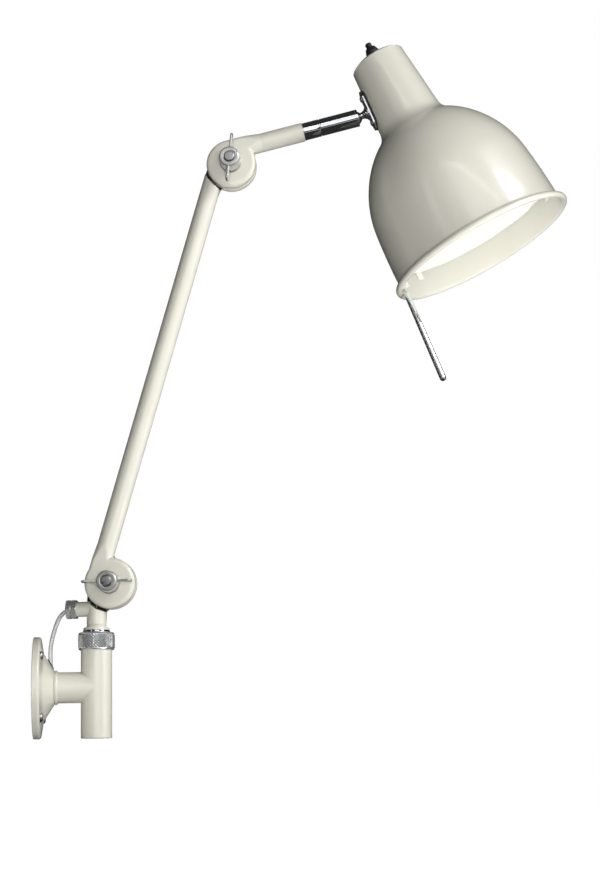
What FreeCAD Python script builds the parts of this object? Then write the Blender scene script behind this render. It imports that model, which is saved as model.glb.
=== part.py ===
import FreeCAD, Part
import math
import os

# Articulating wall lamp. Origin: centre of the wall plate's back face.
# +X points out from the wall, +Z up, +Y along the wall. Millimetres and degrees.

os.makedirs("parts", exist_ok=True)
Vec = FreeCAD.Vector
ORIGIN = Vec(0, 0, 0)
X_AXIS = Vec(1, 0, 0)
Y_AXIS = Vec(0, 1, 0)
Z_AXIS = Vec(0, 0, 1)

# Clearances
seat_gap = 0.05        # round seat between two pieces that stay together
face_gap = 0.02
running_gap = 0.06     # shaft turning in its hole
free_gap = 0.30        # curved faces that move past each other

# Wall plate
plate_radius = 49.0
plate_rim_height = 7.0
plate_knee_radius = 32.4
plate_knee_height = 9.7
plate_nose_radius = 17.0
plate_nose_height = 19.5
plate_wall = 5.6
cover_radius = 29.0
cover_thickness = 3.0
cover_hole_radius = 5.0
cover_hole_drop = 16.0
screw_circle_radius = 41.0
screw_radius = 2.1
screw_head_radius = 4.5
screw_head_height = 2.6
screw_count = 4
terminal_size = (5.4, 15.0, 11.0)

# Tee of two tubes
tee_reach = 60.0
tee_radius = 15.0
tee_bore_radius = 12.5
neck_bore_radius = 11.0
tee_bottom = -49.0
tee_top = 47.0
tee_thread_start = 36.0
tee_thread_depth = 0.4
neck_ring_radius = 16.6
neck_ring_length = 3.6
bush_length = 25.0
collet_radius = 14.0
collet_top_radius = 10.9
collet_height = 3.4

# Lock ring
ring_radius = 18.0
ring_bottom = 36.2
ring_height = 16.6
ring_lip_radius = 10.5

# Post that swings in the tee
pin_radius = 9.25
pin_bottom = -48.4
clip_thickness = 1.2
clip_depth = 0.8
clip_radius = 11.8
post_washer_radius = 13.0
post_washer_thickness = 2.3
post_flange_radius = 12.6
post_flange_height = 2.6
post_top = 60.0
swing_angle = -10.4

# Hinges
hinge_rise = 40.58
hinge_height = post_top + hinge_rise
hinge_offset = 14.25
hinge_spacing = 440.2
arm_lean = 16.36
forearm_slope = 12.73
forearm_offset = 15.7
disc_radius = 25.0
disc_outer_face = 9.8
disc_edge_radius = 4.0
friction_thickness = 1.2
shoulder_gap = 2.5
crotch_radius = 5.0
web_depth = 3.5
neck_reach = 36.0
flank_flare = 1.5
plug_length = 14.0
wire_hole_radius = 2.8
wire_hole_shift = 3.9
groove_inner_radius = 10.5
groove_outer_radius = 18.5
groove_depth = 4.8
washer_ring_radius = 22.2
bolt_radius = 5.0
bolt_head_radius = 11.0
bolt_head_height = 4.2
bolt_square = 9.8
bolt_square_length = 4.0
bolt_end = 1.0
bolt_washer_radius = 10.8
bolt_washer_thickness = 1.5
nut_height = 15.0
nut_base_radius = 10.3
nut_top_radius = 10.0
wing_reach = 24.5
wing_thickness = 2.3
lower_wing_angle = 90.0
upper_wing_angle = 7.0

# Tubes of the arms
tube_radius = 9.5
forearm_radius = 9.3
tube_wall = 1.5

# Gland on the post and the lead to the wall plate
spigot_disc_gap = 1.2627
spigot_radius = 7.3
spigot_start = 5.7
spigot_end = 21.2
spigot_bore_radius = 2.6
spigot_clear_radius = disc_radius + spigot_disc_gap
spigot_drop = spigot_radius + math.sqrt(spigot_clear_radius ** 2 - (hinge_offset + spigot_start) ** 2)
spigot_height = hinge_height - spigot_drop
nut_start = 19.0
nut_end = 29.2
nut_across_flats = 17.4
nut_mouth_radius = 6.3
nut_groove_width = 1.3
nut_groove_depth = 1.1
nut_mouth_depth = 5.5
nut_throat_radius = 2.6
lead_radius = 2.1
lead_side = 6.0
lead_hole_out = 15.9
lead_hole_radius = 2.95
grommet_bore_radius = 2.35
grommet_stand = 1.3

# Swivel, as distances from the forearm tube's foot along its axis
collar_start = 78.5
collar_radius = 8.6
barrel_start = 96.5
barrel_radius = 8.5
barrel_floor = 7.2
spindle_radius = 4.5
spindle_head_radius = 5.6
ball_distance = 133.1
ball_radius = 6.9
seat_radius = 7.0
end_ring_start = 0.5
end_ring_end = 2.8
barrel_bore_radius = 7.5
barrel_step_radius = 6.0
spring_count = 4
spring_thickness = 0.6
spring_rise = 0.8
set_screw_place = 87.0
set_screw_radius = 1.9

# Ball stem and its plate on the shade's neck
shade_twist = 1.9
shade_tilt = 13.7
ball_to_axis = 47.6
ball_to_rim = 181.4
stem_radius = 3.4
stem_flare_radius = 8.3
plate_back = 13.8
stem_plate_thickness = 2.0
stem_plate_length = 43.0
stem_plate_width = 17.0
stem_plate_shift = 2.0
gasket_length = 44.0
gasket_width = 19.0
stem_screw_spacing = 27.0
stem_screw_radius = 2.0
stem_screw_head_radius = 3.0
stem_screw_head_height = 2.0
nipple_radius = 3.9
strip_length = 38.0
strip_width = 14.0

# Shade
shade_wall = 1.0
rim_radius = 95.6
rim_bead_radius = 3.2
rim_flare_radius = 3.0
rim_overhang = 6.2
shade_foot_radius = rim_radius - rim_overhang
shade_foot_lean = 1.7
shade_bends = ((656.0, 5.0), (109.0, 36.3), (90.0, 12.5))
neck_fillet_radius = 20.0
neck_lean = 4.5
cap_height = 6.2
cap_flat_radius = 8.6
cap_skirt = 7.0

# Diffuser, lamp, handle and switch in the shade
diffuser_height = 26.0
diffuser_thickness = 2.0
diffuser_lip = 5.0
slot_count = 12
slot_inset = 6.4
slot_radius = shade_foot_radius - slot_inset
slot_length = 13.0
slot_width = 2.6
slot_turn = 27.0
clip_count = 3
clip_turn = 131.0
clip_width = 8.0
clip_strip = 0.6
clip_foot = 5.0
clip_leg = 8.0
holder_gap = 2.6
holder_plate_height = ball_to_rim + strip_length / 2 + holder_gap
neck_above_holder = 20.0
neck_top_height = holder_plate_height + neck_above_holder
holder_radius = 19.0
holder_length = 48.0
holder_head_length = 18.0
holder_head_step = 4.0
holder_skirt_depth = 30.0
holder_bore_radius = 4.0
plate_dish_depth = 8.0
plate_dish_wall = 1.2
bulb_globe_radius = 30.0
bulb_cap_radius = 13.0
bulb_neck_length = 14.0
bulb_cap_length = 22.0
bulb_wall = 1.0
handle_turn = 172.0
handle_rim_gap = 0.35
handle_lean = 5.2
handle_root_radius = 2.0
handle_neck_radius = 2.7
handle_tip_radius = 3.3
handle_drop = 97.0
handle_root = 15.0
clamp_radius = 1.5
clamp_head_radius = 2.6
clamp_head_height = 1.8
bracket_low = 6.0
bracket_high = 17.0
bracket_depth = 15.1
bracket_inner = rim_radius - bracket_depth
bracket_width = 9.0
switch_thread_radius = 4.4
switch_body_radius = 8.6
switch_body_length = 15.0
switch_collar_radius = 7.0
switch_collar_height = 10.3
switch_collar_top = 5.2
button_radius = 3.25
button_top = 16.2

half_friction = friction_thickness / 2
swept_radius = disc_radius + shoulder_gap


# ---------------------------------------------------------------- helpers

def closed_face(corners, to_space):
    """Face inside an outline of (a, b) or (a, b, rounding radius) corners."""
    count = len(corners)
    flat = [Vec(corner[0], corner[1], 0) for corner in corners]
    entries = []
    middles = []
    exits = []
    for index in range(count):
        here = flat[index]
        radius = corners[index][2] if len(corners[index]) > 2 else 0
        entry = here
        middle = here
        leave = here
        if radius > 0:
            back = (flat[index - 1] - here).normalize()
            ahead = (flat[(index + 1) % count] - here).normalize()
            half = back.getAngle(ahead) / 2
            reach = radius / math.tan(half)
            entry = here + back * reach
            leave = here + ahead * reach
            inward = (back + ahead).normalize()
            middle = here + inward * (radius / math.sin(half) - radius)
        entries.append(entry)
        middles.append(middle)
        exits.append(leave)
    edges = []
    for index in range(count):
        if entries[index].distanceToPoint(exits[index]) > 1e-6:
            arc_points = [to_space(p.x, p.y) for p in (entries[index], middles[index], exits[index])]
            edges.append(Part.Arc(*arc_points).toShape())
        start = exits[index]
        end = entries[(index + 1) % count]
        if start.distanceToPoint(end) > 1e-6:
            edges.append(Part.makeLine(to_space(start.x, start.y), to_space(end.x, end.y)))
    return Part.Face(Part.Wire(edges))


def outward(solid):
    """The same solid with its skin facing out."""
    if solid.Volume < 0:
        solid.reverse()
    return solid


def turned(corners):
    """Solid turned about Z from (radius, height) corners."""
    face = closed_face(corners, lambda a, b: Vec(a, 0, b))
    return outward(face.revolve(ORIGIN, Z_AXIS, 360))


def slab(corners, start, end):
    """Plate with (x, z) corners between two y values."""
    face = closed_face(corners, lambda a, b: Vec(a, start, b))
    return outward(face.extrude(Vec(0, end - start, 0)))


def block(x_from, x_to, y_from, y_to, z_from, z_to):
    """Rectangular block between six planes."""
    return Part.makeBox(x_to - x_from, y_to - y_from, z_to - z_from, Vec(x_from, y_from, z_from))


def rod(radius, start, end):
    """Plain cylinder between two points."""
    way = end - start
    return Part.makeCylinder(radius, way.Length, start, way)


def place(origin, along, across):
    """Place whose Z runs along one direction and X along another."""
    return FreeCAD.Placement(origin, FreeCAD.Rotation(across, along.cross(across), along, "ZXY"))


def turn_about(axis, angle):
    """Place at the origin turned about one axis."""
    return FreeCAD.Placement(ORIGIN, FreeCAD.Rotation(axis, angle))


def shift(x, y, z):
    """Place moved without turning."""
    return FreeCAD.Placement(Vec(x, y, z), FreeCAD.Rotation())


def put(shape, where):
    """Copy of a shape carried into a place."""
    moved = shape.copy()
    moved.Placement = where.multiply(moved.Placement)
    return moved


def ring_of(shape, count, first_angle):
    """Copies of a shape spaced evenly about Z."""
    step = 360.0 / count
    return [put(shape, turn_about(Z_AXIS, first_angle + step * index)) for index in range(count)]


def save(node, solids, where):
    """Write one node, given as one solid or a list, in its place."""
    pieces = [put(solid, where) for solid in (solids if isinstance(solids, list) else [solids])]
    for piece in pieces:
        print(node, "solids", len(piece.Solids), "volume", round(piece.Volume, 1), piece.isValid())
    shape = pieces[0] if len(pieces) == 1 else Part.makeCompound(pieces)
    shape.exportStep("parts/" + node + ".step")


# ---------------------------------------------------------------- places

world = FreeCAD.Placement()
wall = place(ORIGIN, X_AXIS, Z_AXIS)
tee = shift(tee_reach, 0, 0)
swing = tee.multiply(turn_about(Z_AXIS, swing_angle))
lower_hinge = swing.multiply(shift(hinge_offset, 0, hinge_height))
arm_run = lower_hinge.multiply(turn_about(Y_AXIS, arm_lean))
upper_hinge = arm_run.multiply(shift(0, 0, hinge_spacing)).multiply(turn_about(Y_AXIS, -arm_lean))
stub_run = lower_hinge.multiply(turn_about(Y_AXIS, 180))
arm_back_run = arm_run.multiply(shift(0, 0, hinge_spacing)).multiply(turn_about(Y_AXIS, 180))
forearm_run = upper_hinge.multiply(turn_about(Y_AXIS, 90 - forearm_slope))
forearm_axis = forearm_run.multiply(shift(-forearm_offset, 0, 0))
ball_place = forearm_axis.multiply(shift(0, 0, ball_distance))
barrel_place = ball_place.multiply(turn_about(Z_AXIS, shade_twist))
tilt_place = barrel_place.multiply(turn_about(Y_AXIS, -shade_tilt))
shade = tilt_place.multiply(shift(ball_to_rim, 0, ball_to_axis)).multiply(turn_about(Y_AXIS, -90))
front_of = place(ORIGIN, -Y_AXIS, X_AXIS)


# ---------------------------------------------------------------- wall plate

def plate_slope():
    """Rise of the plate's cone for each millimetre towards the axis."""
    return (plate_nose_height - plate_knee_height) / (plate_knee_radius - plate_nose_radius)


def plate_outer():
    """Solid inside the wall plate's front surface."""
    return turned([(0, 0), (plate_radius, 0, 0.5), (plate_radius, plate_rim_height, 2.4),
                   (plate_knee_radius, plate_knee_height, 8.0),
                   (plate_nose_radius, plate_nose_height, 0.8), (0, plate_nose_height)])


def plate_hollow():
    """Space behind the cone, with the cover's seat and the nose's bore."""
    floor_height = plate_nose_height - 9.0
    outer_depth = plate_knee_height + (plate_knee_radius - cover_radius) * plate_slope() - plate_wall
    return turned([(0, -1), (cover_radius, -1), (cover_radius, outer_depth),
                   (plate_nose_radius, floor_height), (tee_bore_radius, floor_height),
                   (tee_bore_radius, plate_nose_height + 1), (0, plate_nose_height + 1)])


def wall_screw():
    """Domed screw with a cross recess, standing on z = 0 with its shank below."""
    length = plate_rim_height - 1.0
    solid = turned([(0, -length), (screw_radius, -length, 0.4), (screw_radius, 0),
                    (screw_head_radius, 0), (screw_head_radius, screw_head_height, 2.2),
                    (0, screw_head_height)])
    bar = block(-2.6, 2.6, -0.45, 0.45, screw_head_height - 1.5, screw_head_height + 1)
    cross = bar.fuse(put(bar, turn_about(Z_AXIS, 90)))
    return solid.cut(cross)


def screw_seat_height():
    """Front surface height of the plate at the screw circle."""
    fall = (plate_knee_height - plate_rim_height) / (plate_radius - plate_knee_radius)
    return plate_knee_height - fall * (screw_circle_radius - plate_knee_radius)


def wall_parts():
    """Plate, screws, cover, neck ring and grommet."""
    seat_height = screw_seat_height() - 0.6
    seat = turned([(0, seat_height), (screw_head_radius + 0.5, seat_height),
                   (screw_head_radius + 0.5, seat_height + 5), (0, seat_height + 5)])
    hole = turned([(0, -1), (screw_radius + 0.3, -1), (screw_radius + 0.3, seat_height + 1),
                   (0, seat_height + 1)])
    corner = shift(screw_circle_radius, 0, 0)
    cuts = ring_of(put(seat.fuse(hole), corner), screw_count, 45)
    in_wall = wall.inverse()
    lead_hole_end = Vec(lead_hole_out, lead_side, plate_radius)
    lead_hole = rod(lead_hole_radius, Vec(lead_hole_out, lead_side, 0), lead_hole_end)
    cuts.append(put(lead_hole, in_wall))
    save("wall_plate", plate_outer().cut(plate_hollow()).cut(Part.makeCompound(cuts)), wall)
    screw = put(wall_screw(), corner.multiply(shift(0, 0, seat_height)))
    save("wall_screws", ring_of(screw, screw_count, 45), wall)
    cover = turned([(0, 0), (cover_radius - seat_gap, 0), (cover_radius - seat_gap, cover_thickness),
                    (0, cover_thickness)])
    cable_hole = Part.makeCylinder(cover_hole_radius, cover_thickness + 2, Vec(-cover_hole_drop, 0, -1))
    save("back_cover", cover.cut(cable_hole), wall)
    ring_end = plate_nose_height + neck_ring_length
    inner = neck_tube_radius() + seat_gap
    save("neck_ring", turned([(inner, plate_nose_height), (neck_ring_radius, plate_nose_height, 1.4),
                              (neck_ring_radius, ring_end, 1.5), (inner, ring_end)]), wall)
    sleeve = rod(lead_hole_radius - seat_gap, Vec(lead_hole_out, lead_side, tee_bore_radius),
                 lead_hole_end)
    bore = rod(grommet_bore_radius, Vec(lead_hole_out, lead_side, 0), lead_hole_end)
    skin = put(put(plate_outer(), shift(0, 0, grommet_stand)), wall)
    save("lead_grommet", sleeve.common(skin).cut(bore), world)
    depth, width, height = terminal_size
    front = cover_thickness + depth
    body = block(cover_thickness, front, -width / 2, width / 2, -height, 0)
    mouths = [rod(1.6, Vec(cover_thickness + depth / 2, side * width / 4, -height - 1),
                  Vec(cover_thickness + depth / 2, side * width / 4, 1)) for side in (-1, 1)]
    save("terminal_block", body.cut(Part.makeCompound(mouths)), world)


# ---------------------------------------------------------------- tee, bushes, collet, lock ring

def neck_tube_radius():
    """The level tube is a hair thinner than the upright one it is welded to."""
    return tee_radius - 0.1


def tee_body():
    """Level tube welded to an open upright tube with a thread at its top."""
    level = rod(neck_tube_radius(), Vec(plate_nose_height, 0, 0), Vec(tee_reach, 0, 0))
    thread_radius = tee_radius - tee_thread_depth
    upright = turned([(0, tee_bottom), (tee_radius, tee_bottom, 0.8), (tee_radius, tee_thread_start),
                      (thread_radius, tee_thread_start), (thread_radius, tee_top), (0, tee_top)])
    bore = rod(tee_bore_radius, Vec(0, 0, tee_bottom - 1), Vec(0, 0, tee_top + 1))
    level_bore = rod(neck_bore_radius, Vec(plate_nose_height - 1, 0, 0), Vec(tee_reach, 0, 0))
    return level.fuse(put(upright, tee)).cut(level_bore).cut(put(bore, tee))


def bush(start):
    """Plain sleeve that guides the post."""
    inner = pin_radius + running_gap
    outer = tee_bore_radius - seat_gap
    return turned([(inner, start), (outer, start), (outer, start + bush_length), (inner, start + bush_length)])


def collet():
    """Split cone ring that the lock ring presses onto the post."""
    inner = pin_radius + running_gap
    body = turned([(inner, tee_top), (collet_radius, tee_top), (collet_radius, tee_top + 0.6),
                   (collet_top_radius, tee_top + collet_height), (inner, tee_top + collet_height)])
    return body.cut(block(0, collet_radius + 1, -0.6, 0.6, tee_top - 1, tee_top + collet_height + 1))


def lock_ring():
    """Ring that screws down on the tee and squeezes the collet."""
    top = ring_bottom + ring_height
    bore = tee_radius - tee_thread_depth + free_gap
    slope = (collet_height - 0.6) / (collet_radius - collet_top_radius)
    stand = free_gap / math.cos(math.atan(slope))
    cone_start = tee_top + 0.6 + stand - (bore - collet_radius) * slope
    cone_end = cone_start + (bore - ring_lip_radius) * slope
    return turned([(bore, ring_bottom), (ring_radius, ring_bottom, 0.7), (ring_radius, top - 1.4),
                   (ring_radius - 1.2, top), (ring_lip_radius, top), (ring_lip_radius, cone_end),
                   (bore, cone_start)])


def bracket_parts():
    """Everything that the post turns in."""
    save("bracket_tee", tee_body(), world)
    save("upper_bush", bush(tee_top - bush_length), tee)
    save("lower_bush", bush(pin_bottom + 2.2), tee)
    save("clamp_collet", collet(), tee)
    save("lock_ring", lock_ring(), tee)


# ---------------------------------------------------------------- hinges

def knuckle(offset, radius, reach, plug_radius):
    """Cast hinge half: disc behind the mid plane, neck beside the hinge and plug for its tube."""
    disc = turned([(0, half_friction), (disc_radius, half_friction, 0.4),
                   (disc_radius, disc_outer_face, disc_edge_radius), (0, disc_outer_face)])
    disc = put(disc, place(ORIGIN, Y_AXIS, X_AXIS))
    neck = Part.makeCylinder(radius, reach, Vec(offset, 0, 0), Z_AXIS)
    sweep = rod(swept_radius, Vec(0, -radius - 1, 0), Vec(0, half_friction, 0))
    neck = neck.cut(sweep)
    flank = block(offset - radius, offset + radius, half_friction, disc_outer_face, 0, reach - 1)
    front = [edge for edge in flank.Edges if edge.CenterOfMass.y > disc_outer_face - 0.01
             and abs(edge.CenterOfMass.x - offset) > radius - 0.01]
    flank = flank.makeFillet(disc_edge_radius, front)
    flank = flank.common(Part.makeCone(radius * flank_flare, radius, reach - 1, Vec(offset, 0, 0), Z_AXIS))
    inner_line = abs(offset) - radius
    centre_out = crotch_radius - inner_line
    centre_up = math.sqrt((disc_radius + crotch_radius) ** 2 - centre_out ** 2)
    scale = disc_radius / (disc_radius + crotch_radius)
    side = -1 if offset < 0 else 1
    low = centre_up * scale * 0.6
    foot = Vec(-side * centre_out * scale, half_friction, centre_up * scale)
    shoulder = Vec(side * inner_line, half_friction, centre_up)
    centre = Vec(-side * centre_out, half_friction, centre_up)
    middle = centre + ((foot - centre).normalize() + (shoulder - centre).normalize()).normalize() * crotch_radius
    corners = [shoulder, Vec(offset, half_friction, centre_up), Vec(offset, half_friction, low),
               Vec(foot.x, half_friction, low), foot]
    edges = [Part.makeLine(corners[index], corners[index + 1]) for index in range(4)]
    edges.append(Part.Arc(foot, middle, shoulder).toShape())
    web = outward(Part.Face(Part.Wire(edges)).extrude(Vec(0, web_depth, 0)))
    plug = Part.makeCylinder(plug_radius, plug_length + 1, Vec(offset, 0, reach - 1), Z_AXIS)
    wire_hole = Part.makeCylinder(wire_hole_radius, reach + plug_length + 1, Vec(offset, wire_hole_shift, 0), Z_AXIS)
    casting = disc.fuse([neck, flank, web, plug]).removeSplitter()
    return casting.cut(put(disc_inside(), place(ORIGIN, Y_AXIS, X_AXIS))).cut(wire_hole)


def disc_inside():
    """Bolt hole and ring groove of a hinge disc, standing on the mid plane."""
    bore = bolt_radius + running_gap
    groove_end = half_friction + groove_depth
    hole = turned([(0, -1), (bore, -1), (bore, disc_outer_face + 1), (0, disc_outer_face + 1)])
    groove = turned([(groove_inner_radius, half_friction), (groove_outer_radius, half_friction),
                     (groove_outer_radius, groove_end), (groove_inner_radius, groove_end)])
    return Part.makeCompound([hole, groove])


def with_square(solid):
    """Hinge half with the square hole that stops the bolt turning."""
    half = bolt_square / 2 + seat_gap
    return solid.cut(block(-half, half, disc_outer_face - bolt_square_length - seat_gap,
                           disc_outer_face + 1, -half, half))


def to_front(solid):
    """The same hinge half in front of the mid plane."""
    return solid.mirror(ORIGIN, Y_AXIS)


def hinge_bolt():
    """Domed bolt with a square neck; its Z points to the wing nut."""
    tip = disc_outer_face + bolt_washer_thickness + nut_height + bolt_end
    back = -disc_outer_face
    solid = turned([(0, back - bolt_head_height), (bolt_head_radius, back - bolt_head_height, 3.2),
                    (bolt_head_radius, back), (bolt_radius, back), (bolt_radius, tip, 0.9), (0, tip)])
    half = bolt_square / 2
    return solid.fuse(block(-half, half, -half, half, back, back + bolt_square_length)).removeSplitter()


def friction_washer():
    """Hub ring and outer ring of friction sheet, with room for the wires between."""
    rings = []
    half = half_friction - face_gap
    for inner, outer in ((bolt_radius + seat_gap * 2, groove_inner_radius), (groove_outer_radius, washer_ring_radius)):
        rings.append(turned([(inner, -half), (outer, -half), (outer, half), (inner, half)]))
    return rings


def bolt_washer():
    """Flat washer under the wing nut."""
    inner = bolt_radius + running_gap * 2
    inner_face = disc_outer_face + face_gap
    outer_face = disc_outer_face + bolt_washer_thickness - face_gap
    return turned([(inner, inner_face), (bolt_washer_radius, inner_face, 0.3),
                   (bolt_washer_radius, outer_face, 0.3), (inner, outer_face)])


def wing_nut():
    """Boss with two rounded wings, standing on the washer."""
    base = disc_outer_face + bolt_washer_thickness
    bore = bolt_radius + running_gap
    boss = turned([(bore, base), (nut_base_radius, base, 0.6), (nut_top_radius, base + nut_height, 1.2),
                   (bore + 1, base + nut_height), (bore, base + nut_height - 1)])
    root = nut_top_radius - 2.5
    wing = slab([(root, base + 3.0), (wing_reach, base + 8.2, 3.4), (wing_reach, base + 16.6, 3.2),
                 (17.0, base + 15.4, 4.0), (root, base + 14.0)], -wing_thickness / 2, wing_thickness / 2)
    return boss.fuse([wing, put(wing, turn_about(Z_AXIS, 180))])


def hinge_hardware(name, hinge, holder_lean, wing_angle):
    """Bolt, washers and wing nut of one hinge; wing_angle is from upright."""
    across = hinge.multiply(front_of)
    save(name + "_hinge_bolt", hinge_bolt(), hinge.multiply(turn_about(Y_AXIS, holder_lean)).multiply(front_of))
    save(name + "_friction_washer", friction_washer(), across)
    save(name + "_bolt_washer", bolt_washer(), across)
    nut = put(wing_nut(), turn_about(Z_AXIS, 90 - wing_angle))
    save(name + "_wing_nut", nut, across)


# ---------------------------------------------------------------- post, gland and lead

def post_bore_radius():
    """Bore of the post, which takes the knuckle's plug."""
    return 7.0


def shoulder_seat():
    """Height of the washer's upper face, where the post's shoulder ring sits."""
    return ring_bottom + ring_height + 0.2 + post_washer_thickness


def post():
    """Turned pin with a clip groove, a step for its shoulder ring and an open top."""
    groove_top = pin_bottom + 2.0
    groove_bottom = groove_top - clip_thickness - seat_gap
    top = shoulder_seat() + post_flange_height
    bore = post_bore_radius()
    return turned([(bore, pin_bottom), (pin_radius, pin_bottom, 0.4), (pin_radius, groove_bottom),
                   (pin_radius - clip_depth, groove_bottom), (pin_radius - clip_depth, groove_top),
                   (pin_radius, groove_top), (pin_radius, top), (tube_radius, top),
                   (tube_radius, post_top), (bore, post_top)])


def post_clip():
    """Open retaining ring in the groove at the post's lower end."""
    groove_top = pin_bottom + 2.0
    inner = pin_radius - clip_depth + seat_gap
    ring = turned([(inner, groove_top - clip_thickness), (clip_radius, groove_top - clip_thickness),
                   (clip_radius, groove_top), (inner, groove_top)])
    return ring.cut(block(0, clip_radius + 1, -2.5, 2.5, pin_bottom - 1, groove_top + 1))


def post_parts():
    """Post, its washer and clip, and the lower hinge half with its gland."""
    save("swivel_post", post(), swing)
    washer_top = shoulder_seat()
    washer_low = washer_top - post_washer_thickness
    ring_top = washer_top + post_flange_height
    washer = turned([(pin_radius + seat_gap, washer_low), (post_washer_radius, washer_low, 0.5),
                     (post_washer_radius, washer_top, 0.5), (pin_radius + seat_gap, washer_top)])
    ring = turned([(pin_radius + seat_gap, washer_top), (post_flange_radius, washer_top, 0.4),
                   (post_flange_radius, ring_top, 0.9), (pin_radius + seat_gap, ring_top)])
    save("post_washer", [washer, ring], swing)
    save("post_clip", post_clip(), swing)
    reach = hinge_height - post_top
    casting = with_square(knuckle(hinge_offset, tube_radius, reach, post_bore_radius() - seat_gap))
    down = hinge_height - spigot_height
    side_hole = rod(spigot_radius + seat_gap, Vec(hinge_offset + spigot_start - seat_gap, 0, down),
                    Vec(hinge_offset + 20, 0, down))
    wire_way = rod(wire_hole_radius, Vec(hinge_offset, 0, down), Vec(hinge_offset + 20, 0, down))
    save("post_knuckle", casting.cut(side_hole).cut(wire_way), stub_run)
    gland = swing.multiply(place(Vec(0, 0, spigot_height), -X_AXIS, Z_AXIS))
    save("cable_spigot", turned([(spigot_bore_radius, spigot_start), (spigot_radius, spigot_start),
                                 (spigot_radius, spigot_end, 0.5), (spigot_bore_radius, spigot_end)]), gland)
    hexagon = gland_hexagon()
    save("gland_nut", hexagon, gland)
    seal_end = nut_end - nut_mouth_depth - 0.4
    save("gland_seal", turned([(nut_throat_radius, spigot_end), (spigot_radius - 0.6, spigot_end),
                               (spigot_radius - 0.6, seal_end), (nut_throat_radius, seal_end)]), gland)


def gland_hexagon():
    """Six sided nut with chamfered ends and a flared mouth."""
    corner_radius = nut_across_flats / 2 / math.cos(math.radians(30))
    corners = [Vec(corner_radius * math.cos(math.radians(60 * index + 30)),
                   corner_radius * math.sin(math.radians(60 * index + 30)), nut_start) for index in range(6)]
    prism = Part.Face(Part.makePolygon(corners + corners[:1])).extrude(Vec(0, 0, nut_end - nut_start))
    rounded = turned([(0, nut_start), (corner_radius - 0.7, nut_start), (corner_radius + 0.2, nut_start + 1.0),
                      (corner_radius + 0.2, nut_end - 1.6), (corner_radius - 1.2, nut_end), (0, nut_end)])
    seat_end = nut_end - nut_mouth_depth - 0.4
    inside = turned([(0, nut_start - 1), (spigot_radius + seat_gap, nut_start - 1),
                     (spigot_radius + seat_gap, seat_end), (nut_throat_radius, seat_end),
                     (nut_throat_radius, nut_end - nut_mouth_depth), (nut_mouth_radius, nut_end),
                     (nut_mouth_radius, nut_end + 1), (0, nut_end + 1)])
    middle = (nut_start + nut_end) / 2
    waist = nut_across_flats / 2 - nut_groove_depth
    groove = turned([(waist, middle - nut_groove_width / 2), (corner_radius + 1, middle - nut_groove_width / 2),
                     (corner_radius + 1, middle + nut_groove_width / 2), (waist, middle + nut_groove_width / 2)])
    return outward(prism).common(rounded).cut(inside).cut(groove)


def lead_route():
    """Bend points of the short lead, from the gland's bore down into the wall plate."""
    start = swing.multVec(Vec(-18.5, 0, spigot_height))
    first = swing.multVec(Vec(-26.9, 0, spigot_height))
    return [start, first, Vec(26.3, 5.9, 72.0), Vec(22.2, lead_side, 64.8), Vec(18.2, lead_side, 52.4),
            Vec(15.3, lead_side, 38.9), Vec(lead_hole_out, lead_side, 23.0),
            Vec(lead_hole_out, lead_side, 8.7), Vec(10.6, lead_side, 0.9)]


def lead():
    """Round lead along straight runs joined by tangent arcs."""
    points = lead_route()
    edges = []
    begin = points[0]
    for index in range(1, len(points) - 1):
        here = points[index]
        back = (points[index - 1] - here).normalize()
        ahead = (points[index + 1] - here).normalize()
        half_turn = (math.pi - back.getAngle(ahead)) / 2
        run = min((points[index - 1] - here).Length, (points[index + 1] - here).Length)
        reach = 0.45 * run
        radius = reach / math.tan(half_turn)
        entry = here + back * reach
        leave = here + ahead * reach
        bow = radius / math.cos(half_turn) - radius
        middle = here + (back + ahead).normalize() * bow
        edges.append(Part.LineSegment(begin, entry).toShape())
        edges.append(Part.Arc(entry, middle, leave).toShape())
        begin = leave
        print("lead bend", index, "radius", round(radius, 1), "run", round(run, 1))
    edges.append(Part.LineSegment(begin, points[-1]).toShape())
    spine = Part.Wire(edges)
    section = Part.Wire(Part.makeCircle(lead_radius, points[0], points[1] - points[0]))
    solid = spine.makePipeShell([section], True, True)
    print("lead length", round(spine.Length, 1), "volume", round(solid.Volume, 1), "expected",
          round(spine.Length * math.pi * lead_radius ** 2, 1))
    return outward(solid)


# ---------------------------------------------------------------- arms

def tube(radius, offset, start, end):
    """Straight tube beside the hinge line."""
    outer = Part.makeCylinder(radius, end - start, Vec(offset, 0, start), Z_AXIS)
    return outer.cut(Part.makeCylinder(radius - tube_wall, end - start, Vec(offset, 0, start), Z_AXIS))


def arm_parts():
    """Main arm with a hinge half at each end, and the forearm's hinge half and tube."""
    plug = tube_radius - tube_wall - seat_gap
    save("arm_lower_knuckle", to_front(knuckle(-hinge_offset, tube_radius, neck_reach, plug)), arm_run)
    save("arm_tube", tube(tube_radius, -hinge_offset, neck_reach, hinge_spacing - neck_reach), arm_run)
    save("arm_upper_knuckle", with_square(knuckle(hinge_offset, tube_radius, neck_reach, plug)), arm_back_run)
    thin_plug = forearm_radius - tube_wall - seat_gap
    save("forearm_knuckle", to_front(knuckle(-forearm_offset, forearm_radius, neck_reach, thin_plug)), forearm_run)
    save("forearm_tube", tube(forearm_radius, -forearm_offset, neck_reach, collar_start), forearm_run)


# ---------------------------------------------------------------- swivel

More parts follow.
